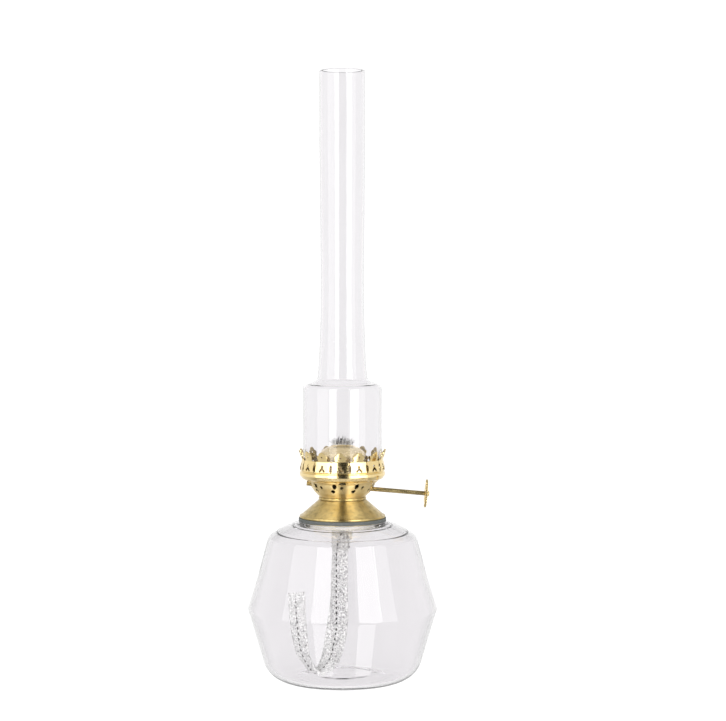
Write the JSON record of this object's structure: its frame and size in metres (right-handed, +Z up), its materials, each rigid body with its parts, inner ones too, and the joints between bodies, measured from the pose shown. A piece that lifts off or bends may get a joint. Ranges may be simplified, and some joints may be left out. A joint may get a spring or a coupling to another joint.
{
  "type": "oil lamp",
  "caption": "Oil lamp with a clear glass font, a screw-in brass flat-wick burner with a petalled gallery and side winder, and a tall stepped glass chimney.",
  "frame": {"origin": "centre of the lamp on the table, at the font's foot ring", "axes": "+Z up the lamp's axis, +X towards the winder's knob, -Y towards the front of the lamp"},
  "size_m": [0.1056, 0.1056, 0.338],
  "materials": {
    "clear_glass": "clear, glossy",
    "brass": "polished",
    "brass_dull": "plain, unpolished",
    "washer_rubber": "matt grey",
    "cement": "matt plaster",
    "wick_cotton": "woven cotton tape"
  },
  "bodies": {
    "font": {"reservoir": "clear_glass", "collar_cement": "cement", "font_collar": "brass_dull"},
    "washer": {"neck_washer": "washer_rubber"},
    "burner": {"thread_ring": "brass_dull", "burner_cone": "brass", "burner_plate": "brass_dull", "neck_bead": "brass", "wick_tube": "brass_dull", "vent_tube": "brass_dull", "air_basket": "brass", "winder_box": "brass_dull", "air_screen": "brass_dull", "gallery": "brass", "gallery_tabs": "brass", "dome": "brass", "wick_tail": "wick_cotton"},
    "winder": {"spindle": "brass", "ratchet_wheel_left": "brass_dull", "ratchet_wheel_right": "brass_dull", "knob": "brass", "knob_rivet": "brass"},
    "wick": {"wick": "wick_cotton"},
    "chimney": {"chimney": "clear_glass"}
  },
  "joints": [
    {"name": "burner_rise", "type": "slide", "parent": "font", "child": "washer", "axis": [0, 0, 1], "range_m": [0, 0.005]},
    {"name": "burner_unscrew", "type": "hinge", "parent": "washer", "child": "burner", "pos_m": [0, 0, 0.09], "axis": [0, 0, 1], "range_deg": [0, 720]},
    {"name": "wick_winder", "type": "hinge", "parent": "burner", "child": "winder", "pos_m": [0, -0.0036, 0.1081], "axis": [0.9963, 0, -0.0854], "range_deg": [-114, 91]},
    {"name": "wick_raise", "type": "slide", "parent": "burner", "child": "wick", "axis": [0, 0, 1], "range_m": [-0.005, 0.004]},
    {"name": "chimney_lift", "type": "slide", "parent": "burner", "child": "chimney", "axis": [0, 0, 1], "range_m": [0, 0.04]}
  ],
  "couplings": [
    {"joint": "burner_rise", "follows": "burner_unscrew", "m_per_rad": 0.00039789},
    {"joint": "wick_raise", "follows": "wick_winder", "m_per_rad": 0.0025}
  ]
}
